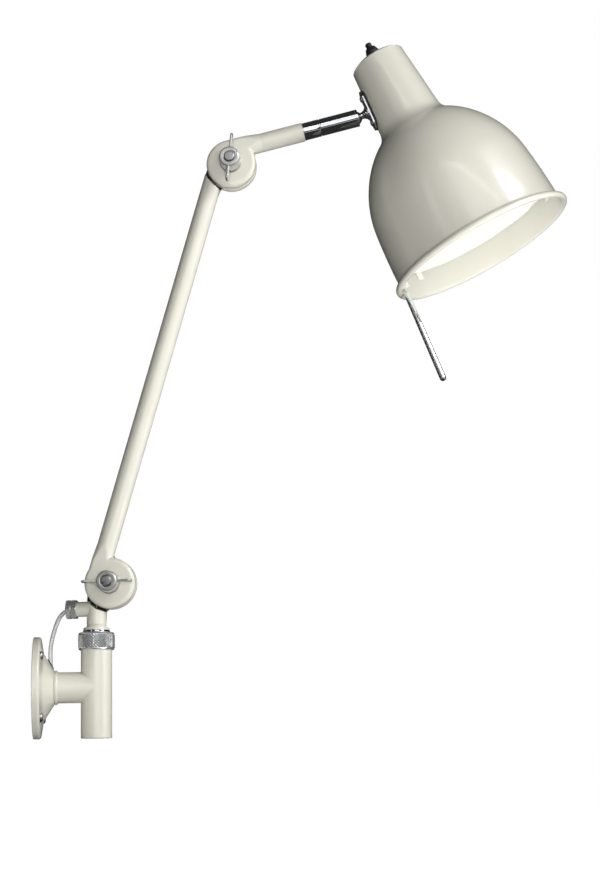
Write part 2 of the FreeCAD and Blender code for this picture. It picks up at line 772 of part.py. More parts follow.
def swivel_parts():
    """Collar with its spindle, and the barrel with springs, cup and end ring."""
    plug = forearm_radius - tube_wall - seat_gap
    collar = turned([(spindle_radius + seat_gap, collar_start - 12), (plug, collar_start - 12, 0.4),
                     (plug, collar_start), (collar_radius, collar_start, 0.5),
                     (collar_radius, barrel_start - 0.2, 0.6), (spindle_radius + seat_gap, barrel_start - 0.2)])
    screw_hole = rod(set_screw_radius + seat_gap, Vec(0, 0, set_screw_place), Vec(20, 0, set_screw_place))
    save("swivel_collar", collar.cut(screw_hole), forearm_axis)
    pocket = rod(0.9, Vec(collar_radius - 2, 0, set_screw_place), Vec(20, 0, set_screw_place))
    screw = rod(set_screw_radius, Vec(spindle_radius + 0.1, 0, set_screw_place),
                Vec(collar_radius - 0.2, 0, set_screw_place))
    save("collar_set_screw", screw.cut(pocket), forearm_axis)
    floor_top = barrel_start + barrel_floor
    save("swivel_spindle", turned([(1.6, collar_start - 10), (spindle_radius, collar_start - 10, 0.4),
                                   (spindle_radius, floor_top + 0.1), (spindle_head_radius, floor_top + 0.1),
                                   (spindle_head_radius, floor_top + 3.0, 0.4), (1.6, floor_top + 3.0)]), forearm_axis)
    ring_start = ball_distance + end_ring_start
    step = ball_distance - 17.5
    lip_radius = barrel_radius - 0.55
    save("swivel_barrel", turned([(spindle_radius + running_gap, barrel_start), (barrel_radius, barrel_start, 0.7),
                                  (barrel_radius, ring_start), (lip_radius, ring_start), (lip_radius, ring_start + 1.0),
                                  (barrel_bore_radius, ring_start + 1.0), (barrel_bore_radius, step),
                                  (barrel_step_radius, step), (barrel_step_radius, floor_top),
                                  (spindle_radius + running_gap, floor_top)]), forearm_axis)
    save("barrel_end_ring", end_ring(lip_radius), ball_place)
    save("cup_springs", disc_springs(-17.5), ball_place)
    cup_bottom = -17.5 + spring_count * (spring_thickness + spring_rise)
    cup = turned([(2.4, cup_bottom), (barrel_bore_radius - seat_gap, cup_bottom),
                  (barrel_bore_radius - seat_gap, -2.0), (2.4, -2.0)])
    save("ball_cup", cup.cut(Part.makeSphere(seat_radius)), ball_place)


def end_ring(lip_radius):
    """Ring screwed on the barrel's end that holds the ball from in front."""
    body = turned([(0, end_ring_start), (barrel_radius, end_ring_start), (barrel_radius, end_ring_end, 0.6),
                   (0, end_ring_end)])
    recess = turned([(0, end_ring_start - 1), (lip_radius + seat_gap, end_ring_start - 1),
                     (lip_radius + seat_gap, end_ring_start + 1.0 + seat_gap),
                     (0, end_ring_start + 1.0 + seat_gap)])
    return body.cut(recess).cut(Part.makeSphere(seat_radius))


def disc_springs(start):
    """Stack of coned washers, facing by turns up and down."""
    washers = []
    inner = 3.4
    outer = barrel_bore_radius - 0.25
    pitch = spring_thickness + spring_rise
    for index in range(spring_count):
        low = start + index * pitch
        inner_low = low if index % 2 else low + spring_rise
        outer_low = low + spring_rise if index % 2 else low
        washers.append(turned([(inner, inner_low), (outer, outer_low), (outer, outer_low + spring_thickness),
                               (inner, inner_low + spring_thickness)]))
    return washers


# ---------------------------------------------------------------- shade

def bell_centres(inset):
    """Points and arc middles of the shade's outline, parallel to it by an inset."""
    lean = shade_foot_lean
    point = Vec(shade_foot_radius, 0, shade_foot_height())
    bends = list(shade_bends)
    end_lean = shade_foot_lean + sum(bend[1] for bend in bends)
    bends.append((-neck_fillet_radius, neck_lean - end_lean))
    pieces = []
    for radius, sweep in bends:
        centre = point - facing(lean) * radius
        inner = radius - inset
        pieces.append([centre + facing(lean + sweep * part) * inner for part in (0, 0.5, 1)])
        point = centre + facing(lean + sweep) * radius
        lean = lean + sweep
    return pieces


def facing(lean):
    """Outward direction of a wall that leans in by an angle."""
    return Vec(math.cos(math.radians(lean)), 0, math.sin(math.radians(lean)))


def shade_foot_height():
    """Height where the wall leaves the fillet behind the rolled rim."""
    bead_out = rim_radius - rim_bead_radius
    reach = rim_flare_radius + rim_bead_radius
    across = shade_foot_radius + rim_flare_radius - bead_out
    return rim_bead_radius + math.sqrt(reach ** 2 - across ** 2)


def neck_radius(height):
    """Outside radius of the straight neck at a height above the rim plane."""
    end = bell_centres(0)[-1][2]
    return end.x - math.tan(math.radians(neck_lean)) * (height - end.z)


def bell_radius(height):
    """Outside radius of the bell's lowest stretch at a height above the rim plane."""
    first = shade_bends[0][0]
    centre = Vec(shade_foot_radius, 0, shade_foot_height()) - facing(shade_foot_lean) * first
    return centre.x + math.sqrt(first ** 2 - (height - centre.z) ** 2)


def bell_edges(inset):
    """Edges of the outline from the rim's fillet to the top of the neck."""
    pieces = bell_centres(inset)
    edges = [Part.Arc(*piece).toShape() for piece in pieces]
    end = pieces[-1][2]
    rise = neck_top_height - end.z
    top = Vec(end.x - math.tan(math.radians(neck_lean)) * rise, 0, neck_top_height)
    edges.append(Part.makeLine(end, top))
    return edges, pieces[0][0], top


def shade_shell():
    """Spun bell and neck of thin sheet with a rolled rim."""
    outer, outer_foot, outer_top = bell_edges(0)
    inner, inner_foot, inner_top = bell_edges(shade_wall)
    bead_centre = Vec(rim_radius - rim_bead_radius, 0, rim_bead_radius)
    flare_centre = outer_foot + facing(0) * rim_flare_radius
    flare_centre.z = outer_foot.z
    meet = bead_centre + (flare_centre - bead_centre).normalize() * rim_bead_radius
    flare_middle = flare_centre - (facing(0) + (flare_centre - meet).normalize()).normalize() * rim_flare_radius
    bead_inside = bead_centre - facing(0) * rim_bead_radius
    bead_far = bead_centre + facing(-45) * rim_bead_radius
    edges = outer + [Part.makeLine(outer_top, inner_top)] + inner
    edges.append(Part.makeLine(inner_foot, bead_inside))
    edges.append(Part.Arc(bead_inside, bead_far, meet).toShape())
    edges.append(Part.Arc(meet, flare_middle, outer_foot).toShape())
    wire = Part.Wire(Part.__sortEdges__(edges))
    return outward(Part.Face(wire).revolve(ORIGIN, Z_AXIS, 360))


def shade_inside(inset):
    """Solid that fills the shade up to its wall, drawn in by an inset."""
    edges, foot, top = bell_edges(inset)
    low_out = Vec(foot.x, 0, 0)
    edges.append(Part.makeLine(top, Vec(0, 0, top.z)))
    edges.append(Part.makeLine(Vec(0, 0, top.z), ORIGIN))
    edges.append(Part.makeLine(ORIGIN, low_out))
    edges.append(Part.makeLine(low_out, foot))
    return outward(Part.Face(Part.Wire(Part.__sortEdges__(edges))).revolve(ORIGIN, Z_AXIS, 360))


def shade_cap():
    """Domed lid whose skirt sits in the neck."""
    outer = neck_radius(neck_top_height)
    skirt_outer = outer - shade_wall - seat_gap
    skirt_inner = skirt_outer - 0.9
    apex = neck_top_height + cap_height
    reach = outer - cap_flat_radius
    dome = (reach ** 2 + cap_height ** 2) / (2 * cap_height)
    centre = Vec(cap_flat_radius, 0, apex - dome)
    half = math.asin(reach / dome) / 2
    inner_dome = dome - shade_wall
    inner_reach = skirt_inner - cap_flat_radius
    inner_half = math.asin(inner_reach / inner_dome) / 2

    def on_dome(radius, angle):
        return centre + Vec(math.sin(angle), 0, math.cos(angle)) * radius

    hole = switch_thread_radius + seat_gap
    rim = Vec(outer, 0, neck_top_height)
    flat = Vec(cap_flat_radius, 0, apex)
    under_flat = Vec(cap_flat_radius, 0, apex - shade_wall)
    turn_in = on_dome(inner_dome, inner_half * 2)
    lower = neck_top_height - cap_skirt
    path = [flat, Vec(hole, 0, apex), Vec(hole, 0, apex - shade_wall), under_flat]
    skirt = [turn_in, Vec(skirt_inner, 0, lower), Vec(skirt_outer, 0, lower),
             Vec(skirt_outer, 0, neck_top_height), rim]
    edges = [Part.Arc(rim, on_dome(dome, half), flat).toShape()]
    edges += [Part.makeLine(path[index], path[index + 1]) for index in range(3)]
    edges.append(Part.Arc(under_flat, on_dome(inner_dome, inner_half), turn_in).toShape())
    edges += [Part.makeLine(skirt[index], skirt[index + 1]) for index in range(4)]
    return outward(Part.Face(Part.Wire(edges)).revolve(ORIGIN, Z_AXIS, 360))


def stem_frame():
    """Place at the ball, its Z square to the neck's wall and X up the neck."""
    at_ball = shift(-ball_to_axis, 0, ball_to_rim)
    return at_ball.multiply(turn_about(Y_AXIS, 90 + neck_lean)).multiply(turn_about(Z_AXIS, 180))


def ball_stem():
    """Ball with a waist that flares like a trumpet to its seat, and a nipple through the wall."""
    ball_exit = math.sqrt(ball_radius ** 2 - stem_radius ** 2)
    waist = Vec(stem_radius, 0, ball_exit)
    waist_end = Vec(stem_radius, 0, ball_exit + 0.8)
    flare_end = Vec(stem_flare_radius, 0, plate_back - 0.7)
    flare_middle = Vec(stem_radius + 1.35, 0, ball_exit + 4.6)
    nipple_end = plate_back + 9.6
    hole = 1.8
    ball_low = -math.sqrt(ball_radius ** 2 - hole ** 2)
    path = [flare_end, Vec(stem_flare_radius, 0, plate_back), Vec(nipple_radius, 0, plate_back),
            Vec(nipple_radius, 0, nipple_end), Vec(hole, 0, nipple_end), Vec(hole, 0, ball_low)]
    edges = [Part.Arc(path[-1], Vec(ball_radius, 0, 0), waist).toShape(), Part.makeLine(waist, waist_end),
             Part.Arc(waist_end, flare_middle, flare_end).toShape()]
    edges += [Part.makeLine(path[index], path[index + 1]) for index in range(5)]
    return outward(Part.Face(Part.Wire(edges)).revolve(ORIGIN, Z_AXIS, 360))


def long_plate(length, width, low, high):
    """Plate with round ends, centred where the stem plate is."""
    end = width / 2
    straight = length / 2 - end
    body = block(-straight, straight, -end, end, low, high)
    ends = [Part.makeCylinder(end, high - low, Vec(side * straight, 0, low)) for side in (-1, 1)]
    return put(body.fuse(ends).removeSplitter(), shift(stem_plate_shift, 0, 0))


def stem_screw_places():
    """Where the two screws go through the stem plate."""
    return [stem_plate_shift + side * stem_screw_spacing / 2 for side in (-1, 1)]


def shade_parts():
    """Shell, cap, ball stem and the pieces that clamp it to the neck."""
    stem = stem_frame()
    in_stem = stem.inverse()
    plate_front = plate_back + stem_plate_thickness
    deep = plate_back + 12.0
    holes = [rod(stem_screw_radius + 0.2, Vec(x, 0, plate_back - 1), Vec(x, 0, deep)) for x in stem_screw_places()]
    holes.append(rod(nipple_radius + 0.1, Vec(0, 0, plate_back - 1), Vec(0, 0, deep)))
    holes = Part.makeCompound(holes)
    save("shade_shell", shade_shell().cut(put(holes, stem)), shade)
    save("shade_cap", shade_cap(), shade)
    at_stem = shade.multiply(stem)
    save("ball_stem", ball_stem(), at_stem)
    save("stem_plate", long_plate(stem_plate_length, stem_plate_width, plate_back, plate_front).cut(holes), at_stem)
    outside = put(shade_inside(-seat_gap), in_stem)
    gasket = long_plate(gasket_length, gasket_width, plate_front, plate_front + 5).cut(holes)
    save("stem_gasket", gasket.cut(outside), at_stem)
    inside = put(shade_inside(shade_wall + seat_gap), in_stem)
    flat_depth = plate_back + 6.0
    strip = long_plate(strip_length, strip_width, plate_back, flat_depth).cut(holes)
    save("backing_strip", strip.common(inside), at_stem)
    nut_corner = 6.4
    corners = [Vec(nut_corner * math.cos(math.radians(60 * index)), nut_corner * math.sin(math.radians(60 * index)),
                   flat_depth) for index in range(6)]
    nut = outward(Part.Face(Part.makePolygon(corners + corners[:1])).extrude(Vec(0, 0, 3)))
    nut = nut.cut(Part.makeCylinder(nipple_radius + seat_gap, 4, Vec(0, 0, flat_depth)))
    save("stem_nut", nut, at_stem)
    save("stem_screws", [put(stem_screw(flat_depth), shift(x, 0, 0)) for x in stem_screw_places()], at_stem)


def stem_screw(flat_depth):
    """Round headed screw with a slot, its head on the ball's side of the plate."""
    top = plate_back - stem_screw_head_height
    body = turned([(0, top), (stem_screw_head_radius, top, 1.6), (stem_screw_head_radius, plate_back),
                   (stem_screw_radius, plate_back),
                   (stem_screw_radius, flat_depth + 1.5, 0.3), (0, flat_depth + 1.5)])
    return body.cut(block(-4, 4, -0.45, 0.45, top - 1, top + 1.0))


# ---------------------------------------------------------------- diffuser, lamp, handle, switch

def diffuser():
    """Flat disc with a turned-up lip and a ring of cooling slots."""
    top = diffuser_height + diffuser_thickness
    outer = bell_radius(top + diffuser_lip) - shade_wall - free_gap
    body = turned([(0, diffuser_height), (outer, diffuser_height, 0.8), (outer, top + diffuser_lip),
                   (outer - 1.4, top + diffuser_lip), (outer - 1.4, top), (0, top)])
    half = slot_width / 2
    straight = slot_length / 2 - half
    slot = block(slot_radius - half, slot_radius + half, -straight, straight, diffuser_height - 1, top + 1)
    ends = [Part.makeCylinder(half, diffuser_thickness + 2, Vec(slot_radius, side * straight, diffuser_height - 1))
            for side in (-1, 1)]
    slot = slot.fuse(ends).removeSplitter()
    return body.cut(Part.makeCompound(ring_of(slot, slot_count, slot_turn)))


def diffuser_clip():
    """Bent strip: a leg up the shade's wall and a foot under the diffuser's edge."""
    wall_face = bell_radius(diffuser_height) - shade_wall - 0.4
    low = diffuser_height - clip_leg
    foot_low = diffuser_height - clip_strip - 0.05
    inner = wall_face - clip_strip
    corners = [(wall_face, low), (wall_face, diffuser_height - 0.05, 0.8),
               (wall_face - clip_foot, diffuser_height - 0.05), (wall_face - clip_foot, foot_low),
               (inner, foot_low), (inner, low)]
    return slab(corners, -clip_width / 2, clip_width / 2)


def bulb():
    """Hollow globe lamp with a metal cap, hanging from the holder."""
    centre = holder_plate_height - holder_length - bulb_globe_radius - bulb_neck_length
    neck = bulb_cap_radius - 1.5
    top = holder_plate_height - holder_length + bulb_cap_length

    def body(inset):
        globe = Part.makeSphere(bulb_globe_radius - inset, Vec(0, 0, centre))
        stem = rod(neck - inset, Vec(0, 0, centre), Vec(0, 0, top - inset * 3))
        return globe.fuse(stem)

    return body(0).cut(body(bulb_wall))


def lampholder():
    """Round holder with a skirt around the lamp's cap."""
    low = holder_plate_height - holder_length
    head_low = holder_plate_height - holder_head_length
    head_radius = holder_radius - holder_head_step
    return turned([(bulb_cap_radius, low), (holder_radius, low, 1.0), (holder_radius, head_low, 3.0),
                   (head_radius, head_low + holder_head_step), (head_radius, holder_plate_height, 1.0),
                   (holder_bore_radius, holder_plate_height), (holder_bore_radius, low + holder_skirt_depth),
                   (bulb_cap_radius, low + holder_skirt_depth)])


def holder_plate():
    """Pressed dish that carries the lampholder in the neck, with three air slots."""
    low = holder_plate_height
    top = low + plate_dish_depth
    outer = neck_radius(low) - shade_wall - seat_gap * 2
    upper = neck_radius(top) - shade_wall - seat_gap * 2
    floor_top = low + plate_dish_wall + 0.3
    plate = turned([(holder_bore_radius, low), (outer, low), (upper, top), (upper - plate_dish_wall, top),
                    (outer - plate_dish_wall, floor_top), (holder_bore_radius, floor_top)])
    slot = block(10, outer - 4, -3, 3, low - 1, low + 3)
    return plate.cut(Part.makeCompound(ring_of(slot, 3, 30)))


def handle_circle():
    """Radius from the shade's axis at which the rod passes close inside the rolled rim."""
    return rim_radius - 2 * rim_bead_radius - handle_root_radius - handle_rim_gap


def clamp_height():
    """Height of the screw that clamps the handle's rod in its bracket."""
    return (bracket_low + bracket_high) / 2 + 2


def clamp_tip():
    """Radius from the shade's axis at which the clamping screw meets the rod."""
    return handle_circle() - clamp_height() * math.tan(math.radians(handle_lean)) - handle_root_radius


def handle_parts():
    """Bracket bonded inside the rim, the tapered rod in it and the screw that clamps the rod."""
    lean = math.tan(math.radians(handle_lean))
    line = Vec(lean, 0, -1)
    line.normalize()
    rod_place = turn_about(Z_AXIS, handle_turn).multiply(place(Vec(handle_circle(), 0, 0), line, Y_AXIS))
    grip = turned([(0, -handle_root), (handle_root_radius, -handle_root), (handle_root_radius, 0),
                   (handle_neck_radius, 0, 0.4), (handle_tip_radius, handle_drop, handle_tip_radius * 0.9),
                   (0, handle_drop)])
    save("handle_rod", put(grip, rod_place), shade)
    half = bracket_width / 2
    body = block(bracket_inner, rim_radius, -half, half, bracket_low, bracket_high)
    body = put(body, turn_about(Z_AXIS, handle_turn)).common(shade_inside(shade_wall + seat_gap))
    hole = put(rod(handle_root_radius + seat_gap, Vec(0, 0, -handle_root - 0.1), Vec(0, 0, 30)), rod_place)
    radial = turn_about(Z_AXIS, handle_turn).multiply(place(Vec(0, 0, clamp_height()), X_AXIS, Y_AXIS))
    thread = put(rod(clamp_radius + seat_gap, Vec(0, 0, bracket_inner - 1), Vec(0, 0, handle_circle())), radial)
    save("handle_bracket", body.cut(hole).cut(thread), shade)
    head = bracket_inner - clamp_head_height
    tip = clamp_tip() - free_gap
    screw = turned([(0, head), (clamp_head_radius, head, 0.6), (clamp_head_radius, bracket_inner),
                    (clamp_radius, bracket_inner), (clamp_radius, tip), (0, tip)])
    save("handle_screw", put(screw, radial), shade)


def switch_parts():
    """Push switch through the cap: body, bright ring, dark collar, spring and button."""
    apex = neck_top_height + cap_height
    body_top = apex - shade_wall
    low = body_top - switch_body_length
    bore = button_radius + running_gap
    collar_top = apex + switch_collar_height
    body = turned([(0, low), (switch_body_radius, low, 0.6), (switch_body_radius, body_top),
                   (switch_thread_radius, body_top), (switch_thread_radius, collar_top - 0.6),
                   (bore, collar_top - 0.6), (bore, low + 3), (0, low + 3)])
    save("switch_body", body, shade)
    ring_high = apex + 0.9
    save("switch_ring", turned([(switch_thread_radius + seat_gap, apex), (switch_collar_radius + 0.9, apex, 0.3),
                                (switch_collar_radius + 0.9, ring_high, 0.3),
                                (switch_thread_radius + seat_gap, ring_high)]), shade)
    shoulder = (ring_high + collar_top) / 2
    save("switch_collar", turned([(switch_thread_radius + seat_gap, ring_high), (switch_collar_radius, ring_high),
                                  (switch_collar_radius, shoulder, 1.5), (switch_collar_top, collar_top, 0.4),
                                  (switch_thread_radius + seat_gap, collar_top)]), shade)
    button_low = apex - 4.0
    top = apex + button_top
    save("switch_button", turned([(0, button_low), (button_radius, button_low), (button_radius, top, 1.6),
                                  (0, top)]), shade)
    spring_low = low + 3
    wire = 0.35
    coil = button_radius - 0.7
    height = button_low - spring_low - wire * 2
    helix = Part.makeHelix(height / 4, height, coil)
    section = Part.Wire(Part.makeCircle(wire, Vec(coil, 0, 0), Y_AXIS))
    spring = helix.makePipeShell([section], True, True) if isinstance(helix, Part.Wire) else \
        Part.Wire(helix).makePipeShell([section], True, True)
    save("switch_spring", put(outward(spring), shift(0, 0, spring_low + wire)), shade)


def lamp_parts():
    """Diffuser with its clips, holder plate, lampholder and lamp."""
    save("diffuser", diffuser(), shade)
    save("diffuser_clips", ring_of(diffuser_clip(), clip_count, clip_turn), shade)
    save("holder_plate", holder_plate(), shade)
    save("lampholder", lampholder(), shade)
    save("lamp_bulb", bulb(), shade)


wall_parts()
bracket_parts()
post_parts()
save("supply_lead", lead(), world)
hinge_hardware("lower", lower_hinge, 0, lower_wing_angle)
arm_parts()
hinge_hardware("upper", upper_hinge, arm_lean, upper_wing_angle)
swivel_parts()
shade_parts()
lamp_parts()
handle_parts()
switch_parts()

for label, where in (("swing", swing), ("lower_hinge", lower_hinge), ("upper_hinge", upper_hinge),
                     ("forearm_axis", forearm_axis), ("ball", barrel_place), ("shade", shade)):
    turn = where.Rotation
    print(label, [round(v, 3) for v in where.Base], "X", [round(v, 6) for v in turn.multVec(X_AXIS)],
          "Y", [round(v, 6) for v in turn.multVec(Y_AXIS)], "Z", [round(v, 6) for v in turn.multVec(Z_AXIS)])
print("lead points", [[round(v, 3) for v in point] for point in lead_route()])
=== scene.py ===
import bpy
import math
from mathutils import Matrix, Vector


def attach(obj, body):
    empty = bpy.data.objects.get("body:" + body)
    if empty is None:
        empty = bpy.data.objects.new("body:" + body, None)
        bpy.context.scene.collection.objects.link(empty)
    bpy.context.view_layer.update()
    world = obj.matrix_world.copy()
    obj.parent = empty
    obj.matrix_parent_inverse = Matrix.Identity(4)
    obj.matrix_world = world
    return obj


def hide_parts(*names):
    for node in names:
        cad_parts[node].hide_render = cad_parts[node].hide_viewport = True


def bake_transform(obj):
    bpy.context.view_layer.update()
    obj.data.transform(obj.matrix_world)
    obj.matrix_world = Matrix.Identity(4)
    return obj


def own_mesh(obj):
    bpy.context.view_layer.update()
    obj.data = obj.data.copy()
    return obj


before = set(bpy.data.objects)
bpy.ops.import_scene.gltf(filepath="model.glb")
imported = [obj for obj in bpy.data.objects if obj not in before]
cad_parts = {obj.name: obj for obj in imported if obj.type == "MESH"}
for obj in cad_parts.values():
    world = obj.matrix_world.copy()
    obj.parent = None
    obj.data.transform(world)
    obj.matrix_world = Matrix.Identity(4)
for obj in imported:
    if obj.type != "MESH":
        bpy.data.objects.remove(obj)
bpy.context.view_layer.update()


# Camera, light and floor. The lamp is seen a little from below, from its front and from the
# plate's side. A soft box stands high on the right, a weak fill comes from low on the right, and
# white boards out of the picture show in the bright metal with a dark room between them.
camera_data = bpy.data.cameras.new("camera")
camera = bpy.data.objects.new("camera", camera_data)
bpy.context.collection.objects.link(camera)
camera_data.sensor_width = 36.0
camera_data.lens = 62.48
camera_data.shift_y = 0.1195
camera_data.clip_start = 0.05
camera_data.clip_end = 60.0
look_right = Vector((0.992547, -0.120344, -0.019202))
look_up = Vector((0.001715, -0.143762, 0.989611))
look_back = Vector((-0.121854, -0.982268, -0.142484))
camera.matrix_world = Matrix.Translation((0.07766, -1.48060, -0.06990)) @ Matrix(
    (look_right, look_up, look_back)).transposed().to_4x4()
bpy.context.scene.camera = camera
bpy.context.scene.view_settings.view_transform = "Standard"


def soft_lamp(name, spot, aim, size, power, mirrored=True):
    """A square soft box that faces a point, and shows in bright metal if mirrored."""
    lamp_data = bpy.data.lights.new(name, "AREA")
    lamp_data.size = size
    lamp_data.energy = power
    lamp = bpy.data.objects.new(name, lamp_data)
    bpy.context.collection.objects.link(lamp)
    lamp.location = spot
    lamp.visible_camera = False
    lamp.visible_glossy = mirrored
    lamp.rotation_euler = (Vector(aim) - Vector(spot)).to_track_quat("-Z", "Y").to_euler()


soft_lamp("high_right", (1.70, -1.35, 1.45), (0.30, 0.0, 0.30), 0.9, 37.0)
soft_lamp("low_front", (0.05, -2.00, -0.02), (0.25, 0.0, 0.30), 0.7, 19.0, False)
soft_lamp("under_shade", (0.66, -0.22, 0.02), (0.46, -0.06, 0.44), 0.25, 2.3, False)


def card(name, spot, turn, size, tone):
    """A flat board out of the picture that the bright metal reflects."""
    bpy.ops.object.select_all(action="DESELECT")
    bpy.ops.mesh.primitive_plane_add(size=1.0, location=spot, rotation=turn)
    board = bpy.context.object
    board.name = name
    board.scale = (*size, 1.0)
    bpy.ops.object.transform_apply(location=False, rotation=True, scale=True)
    board.visible_camera = False
    board.visible_shadow = False
    board.visible_diffuse = False
    paint = bpy.data.materials.new(name + "_paint")
    paint.use_nodes = True
    shader = paint.node_tree.nodes["Principled BSDF"]
    shader.inputs["Base Color"].default_value = (tone, tone, tone, 1.0)
    shader.inputs["Roughness"].default_value = 1.0
    shader.inputs["Emission Color"].default_value = (1.0, 1.0, 1.0, 1.0)
    shader.inputs["Emission Strength"].default_value = tone
    board.data.materials.append(paint)


card("white_strip", (0.5, -1.6, 1.35), (math.radians(50), 0.0, 0.0), (2.0, 0.10), 2.2)
card("white_low", (0.7, -1.5, -0.30), (math.radians(115), 0.0, 0.0), (2.2, 0.22), 0.30)
card("right_board", (1.6, -0.9, 0.2), (math.radians(90), 0.0, math.radians(60)), (0.45, 1.6), 1.2)
card("left_board", (-1.2, -1.3, 0.2), (math.radians(90), 0.0, math.radians(-47)), (0.14, 1.6), 1.2)
card("front_wall", (0.25, -2.2, 0.72), (math.radians(90), 0.0, 0.0), (1.5, 1.55), 0.85)

world = bpy.data.worlds.new("studio")
bpy.context.scene.world = world
world.use_nodes = True
sky_nodes = world.node_tree.nodes
sky_links = world.node_tree.links
sky = sky_nodes["Background"]
sky.inputs["Color"].default_value = (1.0, 1.0, 1.0, 1.0)
ray = sky_nodes.new("ShaderNodeLightPath")
seen = sky_nodes.new("ShaderNodeMath")
seen.operation = "MAXIMUM"
sky_links.new(ray.outputs["Is Camera Ray"], seen.inputs[0])
sky_links.new(ray.outputs["Is Transmission Ray"], seen.inputs[1])
darkest_side, brightest_side = 0.01, 0.27
mirrored_room = 0.03
slant = 0.60
heading = sky_nodes.new("ShaderNodeTexCoord")
from_low_right = sky_nodes.new("ShaderNodeVectorMath")
from_low_right.operation = "DOT_PRODUCT"
from_low_right.inputs[1].default_value = (slant, 0.0, -slant)
sky_links.new(heading.outputs["Generated"], from_low_right.inputs[0])
around = sky_nodes.new("ShaderNodeMapRange")
around.inputs["From Min"].default_value = -slant
around.inputs["From Max"].default_value = slant
around.inputs["To Min"].default_value = darkest_side
around.inputs["To Max"].default_value = brightest_side
sky_links.new(from_low_right.outputs["Value"], around.inputs["Value"])
fill = sky_nodes.new("ShaderNodeMapRange")
fill.inputs["To Max"].default_value = mirrored_room
sky_links.new(around.outputs["Result"], fill.inputs["To Min"])
sky_links.new(ray.outputs["Is Glossy Ray"], fill.inputs["Value"])
level = sky_nodes.new("ShaderNodeMapRange")
level.inputs["To Max"].default_value = 1.0
sky_links.new(fill.outputs["Result"], level.inputs["To Min"])
sky_links.new(seen.outputs["Value"], level.inputs["Value"])
sky_links.new(level.outputs["Result"], sky.inputs["Strength"])

bpy.ops.object.select_all(action="DESELECT")
bpy.ops.mesh.primitive_plane_add(size=30.0, location=(0.0, 0.0, -0.42))
floor = bpy.context.object
floor.name = "floor"
floor.visible_glossy = False
floor_paint = bpy.data.materials.new("floor_paint")
floor_paint.use_nodes = True
floor_shader = floor_paint.node_tree.nodes["Principled BSDF"]
floor_shader.inputs["Base Color"].default_value = (0.93, 0.93, 0.93, 1.0)
floor_shader.inputs["Roughness"].default_value = 0.9
floor_shader.inputs["Specular IOR Level"].default_value = 0.1
lit = floor_paint.node_tree.nodes.new("ShaderNodeLightPath")
floor_paint.node_tree.links.new(lit.outputs["Is Camera Ray"], floor_shader.inputs["Emission Strength"])
floor_shader.inputs["Emission Color"].default_value = (0.96, 0.96, 0.96, 1.0)
floor.data.materials.append(floor_paint)


# Wall plate: a round steel flange pressed and turned with a cone up to the bracket's neck, with
# four screw holes and a drilled hole for the lead, painted with a warm pale grey lacquer.
def taken_from(node, name, angle=32.0):
    """A merged and smoothly shaded copy of a solid of the frame."""
    bpy.ops.object.select_all(action="DESELECT")
    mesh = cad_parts[node].data.copy()
    piece = bpy.data.objects.new(name, mesh)
    bpy.context.collection.objects.link(piece)
    piece.select_set(True)
    bpy.context.view_layer.objects.active = piece
    bpy.ops.mesh.customdata_custom_splitnormals_clear()
    bpy.ops.object.mode_set(mode="EDIT")
    bpy.ops.mesh.select_all(action="SELECT")
    bpy.ops.mesh.remove_doubles(threshold=0.000002)
    bpy.ops.object.mode_set(mode="OBJECT")
    bpy.ops.object.shade_smooth_by_angle(angle=math.radians(angle))
    return piece


def finish(name, light, dark, roughness, grain, bump, metal=0.0, coat=0.0, patch=28.0,
           stretch=(1.0, 1.0, 1.0)):
    """A surface with two near tones in patches, a roughness that follows them and a fine relief."""
    surface = bpy.data.materials.new(name)
    surface.use_nodes = True
    nodes = surface.node_tree.nodes
    links = surface.node_tree.links
    shader = nodes["Principled BSDF"]
    shader.inputs["Metallic"].default_value = metal
    shader.inputs["Coat Weight"].default_value = coat
    shader.inputs["Coat Roughness"].default_value = 0.12
    spot = nodes.new("ShaderNodeTexCoord")
    mapping = nodes.new("ShaderNodeMapping")
    mapping.inputs["Scale"].default_value = stretch
    links.new(spot.outputs["Object"], mapping.inputs["Vector"])
    patches = nodes.new("ShaderNodeTexNoise")
    patches.inputs["Scale"].default_value = patch
    patches.inputs["Detail"].default_value = 5.0
    links.new(mapping.outputs["Vector"], patches.inputs["Vector"])
    tone = nodes.new("ShaderNodeMix")
    tone.data_type = "RGBA"
    tone.inputs["A"].default_value = (*dark, 1.0)
    tone.inputs["B"].default_value = (*light, 1.0)
    links.new(patches.outputs["Fac"], tone.inputs["Factor"])
    links.new(tone.outputs["Result"], shader.inputs["Base Color"])
    worn = nodes.new("ShaderNodeMapRange")
    worn.inputs["From Min"].default_value = 0.3
    worn.inputs["From Max"].default_value = 0.7
    worn.inputs["To Min"].default_value = roughness[0]
    worn.inputs["To Max"].default_value = roughness[1]
    links.new(patches.outputs["Fac"], worn.inputs["Value"])
    links.new(worn.outputs["Result"], shader.inputs["Roughness"])
    fine = nodes.new("ShaderNodeTexNoise")
    fine.inputs["Scale"].default_value = grain
    fine.inputs["Detail"].default_value = 3.0
    links.new(mapping.outputs["Vector"], fine.inputs["Vector"])
    relief = nodes.new("ShaderNodeBump")
    relief.inputs["Strength"].default_value = bump
    relief.inputs["Distance"].default_value = 0.0002
    links.new(fine.outputs["Fac"], relief.inputs["Height"])
    links.new(relief.outputs["Normal"], shader.inputs["Normal"])
    return surface


def dress(piece, body, slot, surface, *nodes):
    """Give a finished piece its surface, hang it on its body, and hide the solids that it takes the place
    of.
    """
    piece.data.materials.clear()
    piece.data.materials.append(surface)
    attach(piece, body)
    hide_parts(*nodes)


lacquer = finish("warm_grey_lacquer", (0.655, 0.640, 0.560), (0.615, 0.600, 0.520), (0.30, 0.38),
                 520.0, 0.10, coat=0.7)
dress(taken_from("wall_plate", "wall_flange"), "bracket", "cream_lacquer", lacquer, "wall_plate")


